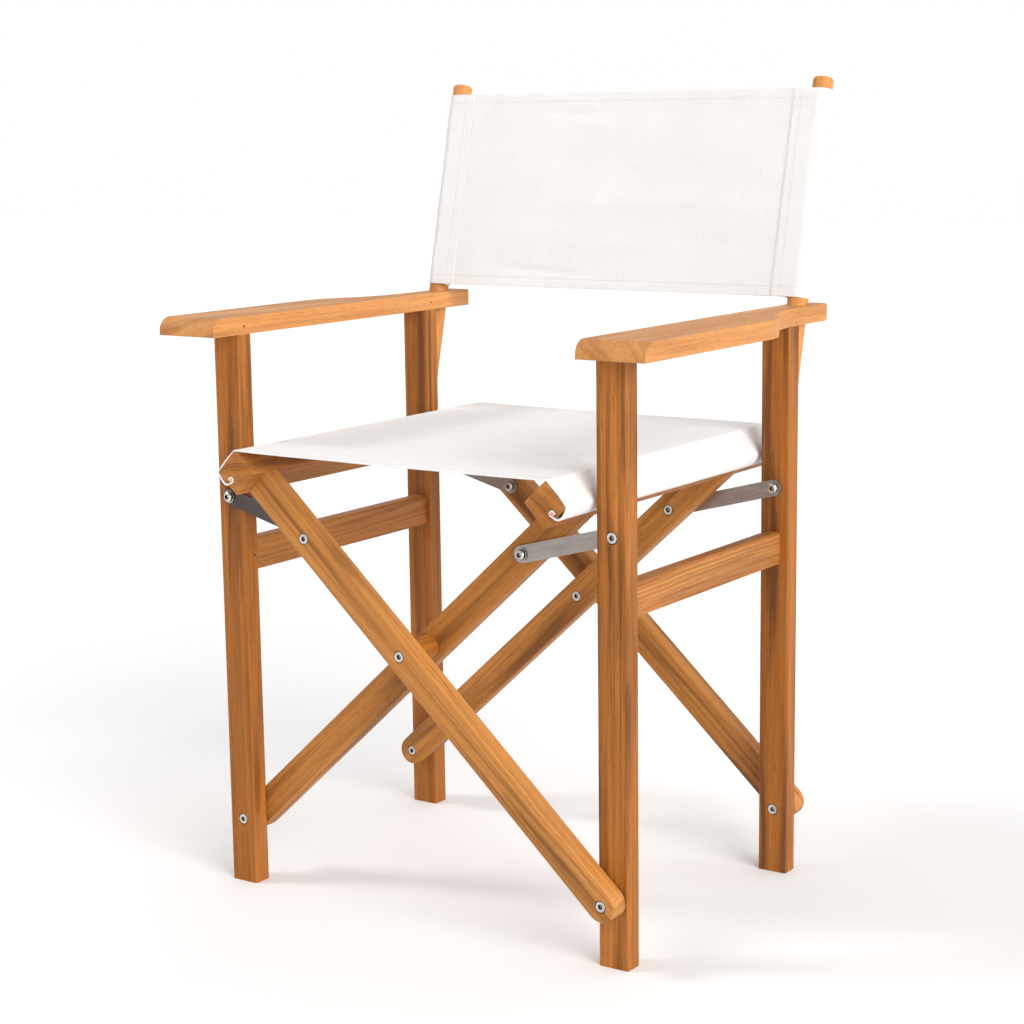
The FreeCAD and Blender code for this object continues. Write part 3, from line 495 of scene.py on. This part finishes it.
def relaxed(points, keep_ends=3):
    """The line with its kinks eased, each inner point drawn towards its neighbours."""
    line = np.array(points, float)
    for _ in range(2):
        inner = slice(keep_ends, len(line) - keep_ends)
        before = line[keep_ends - 1 : len(line) - keep_ends - 1]
        after = line[keep_ends + 1 : len(line) - keep_ends + 1]
        line[inner] = 0.5 * line[inner] + 0.25 * (before + after)
    return line


def make_seat(material, sewing):
    low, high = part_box("left_seat_rail")
    rail = Vector(((low.x + high.x) / 2, 0, (low.z + high.z) / 2))
    canvas_low, canvas_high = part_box("seat_canvas")
    upper = Vector((-math.sin(OPEN_ANGLE), 0, math.cos(OPEN_ANGLE)))
    lower = Vector((-math.cos(OPEN_ANGLE), 0, -math.sin(OPEN_ANGLE)))
    edge = relaxed(filled(seat_edge_profile(), 2.0))
    left = [rail + upper * (p * MM) + lower * (q * MM) for p, q in edge]
    span = filled([(left[-1].x, left[-1].z), (-left[-1].x, left[-1].z)], 4.0 * MM)
    profile = [(p.x, p.z) for p in left] + span[1:-1]
    profile += [(-p.x, p.z) for p in reversed(left)]
    profile = np.array(profile)
    reach = np.concatenate([[0], np.cumsum(np.linalg.norm(np.diff(profile, axis=0), axis=1))])

    depth = canvas_high.y - canvas_low.y
    places = steps(depth / MM, HEM_STEPS + [18], 5.0) * MM
    flat = np.zeros((len(profile), len(places), 3))
    flat[..., 0] = reach[:, None]
    flat[..., 1] = places[None, :]
    grid = np.zeros_like(flat)
    grid[..., 0] = profile[:, 0, None]
    grid[..., 1] = canvas_low.y + places[None, :]
    grid[..., 2] = profile[:, 1, None]

    # The stretched top dips a little between the rails, and soft folds run along the flaps.
    corner = abs(left[-1].x)
    share = np.clip(1 - (np.abs(grid[..., 0]) / corner) ** 2, 0, 1)
    share[np.abs(grid[..., 2] - left[-1].z) > 0.1 * MM] = 0
    inwards = np.minimum(places, depth - places)[None, :]
    dip = share * (0.6 + 2.4 * np.clip(inwards / 0.15, 0, 1)) * MM
    swell = np.zeros(grid.shape[:2])
    for i, j in np.ndindex(grid.shape[:2]):
        x, y = grid[i, j, 0], grid[i, j, 1]
        swell[i, j] = noise.noise(Vector((x * 9, y * 13, 0.0))) * share[i, j]
    grid[..., 2] += swell * 0.9 * MM - dip
    on_flap = bump_at(reach - 0.044, 0.016) + bump_at(reach[-1] - reach - 0.044, 0.016)
    ripple = np.array([noise.noise(Vector((0.3, y * 16, 2.0))) for y in grid[0, :, 1]])
    outwards = normals_of(grid)
    puff = np.outer(on_flap, 0.35 + 0.65 * ripple) * MM
    grid += outwards * puff[..., None] * np.sign(outwards[len(profile) // 2, 0, 2])

    distance = inwards / MM * np.ones((len(profile), 1))
    body = rounded(distance, EDGE_ROUND) * CLOTH / 2
    in_hem = np.clip((HEM - distance) / 0.8, 0, 1)
    pucker = np.sin(flat[..., 0] / MM * 2 * math.pi / 7.4 + 1.3 * np.sin(flat[..., 0] * 90))
    # The cloth is double from the mouth of the groove up to the stitch line of the pocket.
    flap_row = int(np.argmin(np.hypot(edge[:, 0] - RAIL_HALF, edge[:, 1] - RAIL_HALF + POCKET_STITCH)))
    from_end = np.minimum(reach, reach[-1] - reach)[:, None] / MM
    in_pocket = np.clip((reach[flap_row] / MM + 2 - from_end) / 1.2, 0, 1)
    sewn = bump_at(distance - HEM_STITCH, 0.9) * 0.22
    sewn = sewn + bump_at(from_end - reach[flap_row] / MM, 0.9) * 0.3 * rounded(distance, EDGE_ROUND)
    doubled = in_hem * (0.1 + 0.05 * pucker) + in_pocket * 0.3
    above = (body + doubled * rounded(distance, EDGE_ROUND) - sewn) * MM
    below = (body + in_hem * 0.7 * rounded(distance, EDGE_ROUND)) * MM
    up = outwards[len(profile) // 2, len(places) // 2, 2] > 0
    pair = (above, below) if up else (below, above)
    seat = closed_sheet("seat_canvas_cloth", grid, *pair, flat, material)

    # Stitch lines: along both hems, and beside each rail where the rod's pocket is sewn.
    side = 1 if up else -1
    surface = grid + side * outwards * above[..., None]
    facing = side * outwards
    hem_rows = [int(np.argmin(abs(places / MM - at))) for at in (HEM_STITCH, depth / MM - HEM_STITCH)]
    # The first and last rows are wound round the rods, inside the grooves, and have no stitches.
    wound_rows = 30
    free = slice(wound_rows, len(profile) - wound_rows)
    lines = [(surface[free, j], facing[free, j]) for j in hem_rows]
    for i in (flap_row, len(profile) - 1 - flap_row):
        lines.append((surface[i, 6:-6], facing[i, 6:-6]))
    threads = stitching("seat_canvas_stitching", lines, sewing)

    for piece in (seat, threads):
        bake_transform(piece)
    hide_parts("seat_canvas")


# ---------------------------------------------------------------- back canvas


POST_UP = Vector((0, math.sin(RAKE), math.cos(RAKE)))
POST_FRONT = Vector((0, -math.cos(RAKE), math.sin(RAKE)))
SLEEVE_RADIUS = POST_RADIUS + SLEEVE_CLEARANCE + CLOTH / 2


def sleeve_foot(node):
    """The point of the post's axis where its sleeve begins."""
    low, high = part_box(node)
    return (low + high) / 2 - POST_UP * (BACK_HEIGHT * MM / 2)


def hem_thickness(height):
    """Half-thicknesses before and behind the cloth, by height above its lower hem."""
    distance = np.minimum(height, BACK_HEIGHT - height)
    body = rounded(distance, EDGE_ROUND) * CLOTH / 2
    in_hem = np.clip((HEM - distance) / 0.8, 0, 1) * rounded(distance, EDGE_ROUND)
    sewn = bump_at(distance - HEM_STITCH, 0.9) * 0.22
    return body + in_hem * 0.1 - sewn, body + in_hem * 0.35


def height_steps():
    return steps(BACK_HEIGHT, HEM_STEPS + [17], 3.0)


def sleeve_folds(side, angle, height):
    """Creases round the post near the sleeve's ends, in millimetres of height off it."""
    creases = [(18, 0.25, 0.9, 2.6), (27, 0.32, 0.7, 3.0), (206, -0.42, 1.0, 2.4), (196, -0.5, 0.8, 2.8)]
    if side > 0:
        creases += [(214, -0.3, 0.7, 2.2), (187, -0.55, 0.55, 3.2)]
    total = 0.0
    for at, slope, tall, wide in creases:
        line = at + slope * angle * SLEEVE_RADIUS
        fade = math.exp(-((angle - 0.2) ** 2) / 1.4)
        total += tall * fade * math.exp(-(((height - line) / wide) ** 2))
    return total


def make_sleeve(side, material, sewing):
    """The cloth round one post, and the flaps sewn together inwards of it."""
    name = "left" if side < 0 else "right"
    foot = sleeve_foot(f"{name}_back_sleeve")
    body = f"{name}_side_frame"
    radius = SLEEVE_RADIUS
    inwards = Vector((-side, 0, 0))
    # Cross-section about the post: first axis inwards, second axis to the front.
    back_edge = (SLEEVE_FLAP - 1.0, radius - 2 * CLOTH - 0.15)
    meet = (SLEEVE_SEAMS[0] - 3.5, radius - 2 * CLOTH - 0.15)
    run = math.hypot(*meet)
    tangent = math.degrees(math.atan2(meet[1], meet[0]) - math.acos(radius / run))
    section = [(SLEEVE_FLAP, radius)] + arc((0, 0), radius, 90, 360 + tangent, 40)
    section += [meet, back_edge]
    section = relaxed(filled(section, 2.2), 2)
    reach = np.concatenate([[0], np.cumsum(np.linalg.norm(np.diff(section, axis=0), axis=1))])
    heights = height_steps()
    grid = np.zeros((len(section), len(heights), 3))
    flat = np.zeros_like(grid)
    for i, (inner, front) in enumerate(section):
        # The angle round the post, 0 at its front and growing towards its outside.
        angle = math.atan2(-inner, front)
        for j, height in enumerate(heights):
            off = 0.0
            if inner < 3 and 0 < angle + 0.3 < 3.0:
                off = sleeve_folds(side, angle, height)
                off += 0.35 * noise.noise(Vector((angle * 1.5, height * 0.03, side)))
            grow = 1 + off / radius * min(1.0, max(0.0, (3 - inner) / 6))
            point = foot + inwards * (inner * grow * MM) + POST_FRONT * (front * grow * MM)
            grid[i, j] = point + POST_UP * (height * MM)
            flat[i, j] = (reach[i] * MM, height * MM, 0)
    outer, inner_side = hem_thickness(heights)
    ends = np.minimum(reach, reach[-1] - reach)
    taper = rounded(ends, 0.8)[:, None]
    outer, inner_side = (taper * part[None, :] * MM for part in (outer, inner_side))
    outwards = normals_of(grid)
    faces_out = (outwards[3, len(heights) // 2] @ np.array(POST_FRONT)) > 0
    pair = (outer, inner_side) if faces_out else (inner_side, outer)
    sleeve = closed_sheet(f"{name}_sleeve_cloth", grid, *pair, flat, material)

    sign = 1 if faces_out else -1
    surface = grid + sign * outwards * outer[..., None]
    facing = sign * outwards
    lines = []
    for seam in SLEEVE_SEAMS:
        i = int(np.argmin(abs(section[:, 0] - seam) + 10 * (section[:, 1] < radius - CLOTH / 2)))
        lines.append((surface[i, 3:-3], facing[i, 3:-3]))
        i = int(np.argmin(abs(section[:, 0] - seam) + 10 * (section[:, 1] > radius - CLOTH)))
        lines.append((surface[i, 3:-3], facing[i, 3:-3]))
    for at in (HEM_STITCH, BACK_HEIGHT - HEM_STITCH):
        j = int(np.argmin(abs(heights - at)))
        lines.append((surface[1:-1, j], facing[1:-1, j]))
    threads = stitching(f"{name}_sleeve_stitching", lines, sewing)
    for piece in (sleeve, threads):
        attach(piece, body)
    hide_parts(f"{name}_back_sleeve")


# Each furrow's middle and height on the panel, its slope, half its length and its depth.
PANEL_CREASES = ((176, 205, -0.02, 34, 1.3), (145, 20, -0.06, 58, 1.7))
CREASE_WIDTH = 3.2


def panel_creases(x, height):
    """Two slack furrows across the panel, in millimetres pressed back from its face."""
    pressed = 0.0
    for middle, level, slope, half_length, deep in PANEL_CREASES:
        along = (x - middle) / half_length
        away = height - level - slope * (x - middle)
        pressed += deep * math.exp(-(along**2) - (away / CREASE_WIDTH) ** 2)
    return pressed


def make_back_panel(material, sewing):
    """The panel between the posts; its side edges lie between the sleeves' flaps."""
    left = sleeve_foot("left_back_sleeve")
    right = sleeve_foot("right_back_sleeve")
    tuck = PANEL_TUCK
    width = (right.x - left.x) / MM - 2 * tuck
    across = steps(width, [0, 0.4, 1, 6, 12, 18, 24], 4.0)
    heights = height_steps()
    plane = SLEEVE_RADIUS - CLOTH - 0.05
    grid = np.zeros((len(across), len(heights), 3))
    flat = np.zeros_like(grid)
    for i, x in enumerate(across):
        side_fade = min(1.0, max(0.0, (min(x, width - x) - 22) / 60))
        for j, height in enumerate(heights):
            edge_fade = min(1.0, min(height, BACK_HEIGHT - height) / 40)
            slow = noise.noise(Vector((x * 0.006, height * 0.021, 5.0)))
            long_fold = noise.noise(Vector((x * 0.0045, height * 0.045, 9.0)))
            wave = side_fade * (1.6 * slow + 0.9 * long_fold * (0.3 + 0.7 * edge_fade))
            out = plane + wave + 0.5 * side_fade - panel_creases(x, height)
            point = left + Vector(((tuck + x) * MM, 0, 0))
            grid[i, j] = point + POST_FRONT * (out * MM) + POST_UP * (height * MM)
            flat[i, j] = (x * MM + 0.2, height * MM, 0)
    front, back = hem_thickness(heights)
    taper = rounded(np.minimum(across, width - across), 0.8)[:, None]
    front, back = (taper * part[None, :] * MM for part in (front, back))
    outwards = normals_of(grid)
    faces_out = (outwards[len(across) // 2, len(heights) // 2] @ np.array(POST_FRONT)) > 0
    pair = (front, back) if faces_out else (back, front)
    panel = closed_sheet("back_panel_cloth", grid, *pair, flat, material)
    sign = 1 if faces_out else -1
    surface = grid + sign * outwards * front[..., None]
    facing = sign * outwards
    lines = []
    covered = int(np.argmin(abs(across - (SLEEVE_FLAP - tuck))))
    for at in (HEM_STITCH, BACK_HEIGHT - HEM_STITCH):
        j = int(np.argmin(abs(heights - at)))
        shown = slice(covered, len(across) - covered)
        lines.append((surface[shown, j], facing[shown, j]))
    threads = stitching("back_panel_stitching", lines, sewing)
    for piece in (panel, threads):
        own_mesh(piece)
        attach(piece, "left_side_frame")
    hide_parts("back_canvas")


# ---------------------------------------------------------------- finishes of the frame

# Colours of the light wood, the middle tone and the dark grain, how strong the bands are, and
# for the rails how strong and how wide the growth rings are.
TEAK = (rgb(192, 120, 50), rgb(163, 97, 34), rgb(78, 42, 14), 0.85)
TEAK_BAR = (rgb(204, 138, 70), rgb(180, 116, 50), rgb(92, 52, 20), 0.85)
TEAK_RAIL = (rgb(196, 130, 64), rgb(176, 110, 48), rgb(84, 46, 16), 0.6, 0.75, 0.0026)
TEAK_PALE = (rgb(214, 152, 90), rgb(202, 138, 78), rgb(138, 84, 38), 0.55)
ROUND_WOOD = (rgb(212, 146, 78), rgb(198, 130, 64), rgb(150, 92, 40), 0.35)
UP = (0, 0, 1)
BACK = (0, 1, 0)
LEAN_LEFT = (-math.sin(OPEN_ANGLE), 0, math.cos(OPEN_ANGLE))
LEAN_RIGHT = (math.sin(OPEN_ANGLE), 0, math.cos(OPEN_ANGLE))

# Each wooden piece: its grain's direction and its colours.
WOOD = {
    "left_front_leg": (UP, TEAK),
    "left_rear_leg": (UP, TEAK),
    "right_front_leg": (UP, TEAK),
    "right_rear_leg": (UP, TEAK),
    "left_armrest": (BACK, TEAK_PALE),
    "right_armrest": (BACK, TEAK_PALE),
    "left_side_rail": (BACK, TEAK_RAIL),
    "right_side_rail": (BACK, TEAK_RAIL),
    "left_seat_rail": (BACK, TEAK_RAIL),
    "right_seat_rail": (BACK, TEAK_RAIL),
    "outer_front_cross_leg": (LEAN_LEFT, TEAK_BAR),
    "outer_rear_cross_leg": (LEAN_LEFT, TEAK_BAR),
    "inner_front_cross_leg": (LEAN_RIGHT, TEAK_BAR),
    "inner_rear_cross_leg": (LEAN_RIGHT, TEAK_BAR),
    "left_back_post": (tuple(POST_UP), ROUND_WOOD),
    "right_back_post": (tuple(POST_UP), ROUND_WOOD),
    "front_crossing_spacer": (BACK, TEAK),
    "rear_crossing_spacer": (BACK, TEAK),
    "outer_frame_dowels": (LEAN_LEFT, ROUND_WOOD),
    "inner_frame_dowels": (LEAN_RIGHT, ROUND_WOOD),
}


def paint(node, material):
    """Give a CAD node its finish."""
    mesh = NODES[node].data
    mesh.materials.clear()
    mesh.materials.append(material)


def finish_frame():
    for seed, (node, (grain, colours)) in enumerate(WOOD.items(), start=1):
        paint(node, wood(f"{node}_wood", grain, seed, *colours))
    bright = turned_steel("fastener_metal")
    straps = {
        # The left front strap's tone is painted far darker than the other three: painted shade on a
        # steel that is alike on all four.
        "left_front_strap": rgb(104, 96, 92),
        "left_rear_strap": rgb(176, 168, 162),
        "right_front_strap": rgb(186, 176, 170),
        "right_rear_strap": rgb(182, 170, 162),
    }
    slope = {"left": -1, "right": 1}
    for node, tone in straps.items():
        way = slope[node.split("_")[0]]
        paint(node, steel(f"{node}_metal", (way * 0.966, 0, 0.259), tone, 0.3))
    rod = welt()
    for node in NODES:
        if node in WOOD or node in straps:
            continue
        if "welt" in node:
            paint(node, rod)
        elif not any(word in node for word in ("canvas", "sleeve")):
            paint(node, bright)


# ---------------------------------------------------------------- studio


def make_floor():
    half = 14.0
    corners = [(-half, -half, 0), (half, -half, 0), (half, half, 0), (-half, half, 0)]
    floor = new_piece("studio_floor_plane", corners, [(0, 1, 2, 3)], floor_paint())


def add_sun(name, strength, azimuth, elevation, softness, colour=(1, 1, 1)):
    """A soft distant lamp; azimuth 0 is in front of the chair and 90 on its right."""
    data = bpy.data.lights.new(name, "SUN")
    data.energy = strength
    data.angle = math.radians(softness)
    data.color = colour
    lamp = bpy.data.objects.new(name, data)
    a, e = math.radians(azimuth), math.radians(elevation)
    back = Vector((math.sin(a) * math.cos(e), -math.cos(a) * math.cos(e), math.sin(e)))
    lamp.rotation_euler = back.to_track_quat("Z", "Y").to_euler()
    bpy.context.scene.collection.objects.link(lamp)


def light_studio():
    # A white room, brighter behind the chair and on its right; the camera sees plain white.
    world = bpy.data.worlds.new("studio")
    shader = Shader("studio", world)
    toward = shader.node("ShaderNodeTexCoord").outputs["Generated"]
    parts = shader.node("ShaderNodeSeparateXYZ", {0: toward}).outputs
    behind = shader.ramp(parts["Y"], -1, 1, 0.15, 0.9)
    glow = shader.math("ADD", behind, shader.ramp(parts["X"], 0, 1, 0, 0.3))
    glow = shader.math("ADD", glow, shader.ramp(parts["Z"], 0, 1, 0, 0.15))
    seen = shader.node("ShaderNodeLightPath").outputs["Is Camera Ray"]
    background = shader.tree.nodes["Background"]
    shader.feed(background.inputs["Color"], (1.0, 1.0, 1.0, 1.0))
    shader.feed(background.inputs["Strength"], shader.math("MAXIMUM", glow, seen, clamp=True))
    bpy.context.scene.world = world
    add_sun("key", 3.1, 65, 21, 45, (1.0, 0.985, 0.965))
    add_sun("fill", 0.95, -60, 42, 14)
    bpy.context.scene.view_settings.view_transform = "Standard"


CAMERA_PLACE = (1.3258, -1.9680, 0.8344)
CAMERA_ANGLES = (34.25, 10.17, -0.768)  # azimuth, elevation and roll
CAMERA_LENS = 76.94


def add_camera():
    """The camera, given by where it stands, the way it faces and its angle of view."""
    azimuth, elevation, roll = (math.radians(a) for a in CAMERA_ANGLES)
    back = Vector(
        (
            math.sin(azimuth) * math.cos(elevation),
            -math.cos(azimuth) * math.cos(elevation),
            math.sin(elevation),
        )
    )
    level = Vector((math.cos(azimuth), math.sin(azimuth), 0))
    upright = back.cross(level)
    right = level * math.cos(roll) + upright * math.sin(roll)
    up = back.cross(right)
    data = bpy.data.cameras.new("camera")
    data.sensor_width = 36.0
    data.lens = CAMERA_LENS
    camera = bpy.data.objects.new("camera", data)
    axes = Matrix((right, up, back)).transposed().to_4x4()
    camera.matrix_world = Matrix.Translation(CAMERA_PLACE) @ axes
    bpy.context.scene.collection.objects.link(camera)
    bpy.context.scene.camera = camera


# ---------------------------------------------------------------- the scene

add_camera()
make_floor()
light_studio()
finish_frame()
cloth_material = canvas()
thread_material = thread()
make_seat(cloth_material, thread_material)
for side in (-1, 1):
    make_sleeve(side, cloth_material, thread_material)
make_back_panel(cloth_material, thread_material)
